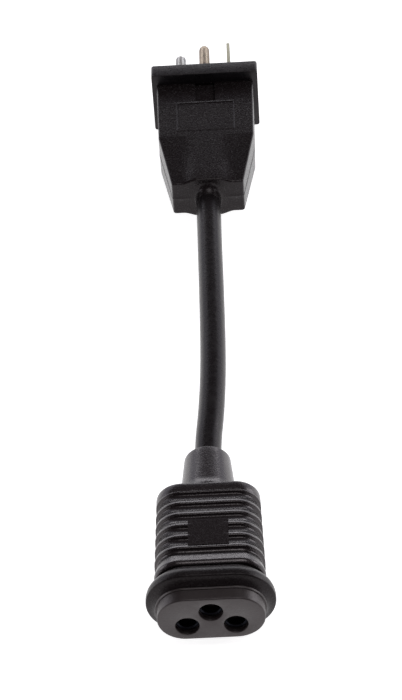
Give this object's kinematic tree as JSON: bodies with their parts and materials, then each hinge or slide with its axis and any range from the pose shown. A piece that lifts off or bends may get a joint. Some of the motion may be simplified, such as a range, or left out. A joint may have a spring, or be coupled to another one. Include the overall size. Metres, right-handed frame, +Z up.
{
  "type": "power adapter lead",
  "caption": "Short power adapter lead: a ribbed moulded socket with round contact holes, a thick round cord, and a moulded plug with round pins and a flat blade.",
  "frame": {"origin": "on the table under the middle of the adapter's length and width", "axes": "+Y from the socket's face to the plug's prongs, +Z up, +X to the right seen from the socket end"},
  "size_m": [0.0528, 0.3528, 0.0317],
  "materials": {
    "black_pvc": "satin, moulded flexible PVC",
    "plug_moulding": "spark-eroded, slightly speckled",
    "face_plate": "satin",
    "nose_plastic": "fine matt",
    "core_plastic": "matt, hidden",
    "cord_jacket": "smooth, semi-gloss",
    "filler": "twisted fibre",
    "wire_black": "smooth",
    "wire_white": "smooth",
    "wire_green": "smooth",
    "copper": "bright drawn copper",
    "pin_nickel": "nickel-plated, dull",
    "pin_brass": "dull brass",
    "contact_brass": "tinned brass"
  },
  "bodies": {
    "root": {"plug_face_plate": "face_plate", "plug_body": "plug_moulding", "plug_core": "core_plastic", "left_pin": "pin_nickel", "centre_pin": "pin_brass", "right_blade": "pin_nickel", "cord_jacket": "cord_jacket", "cord_fillers": "filler", "left_wire_insulation": "wire_white", "upper_wire_insulation": "wire_green", "right_wire_insulation": "wire_black", "left_wire_copper": "copper", "upper_wire_copper": "copper", "right_wire_copper": "copper", "cord_boot": "black_pvc", "socket_grip": "black_pvc", "socket_flange": "black_pvc", "socket_nose": "nose_plastic", "socket_core": "core_plastic", "left_contact_sleeve": "contact_brass", "upper_contact_sleeve": "contact_brass", "right_contact_sleeve": "contact_brass"}
  },
  "joints": []
}
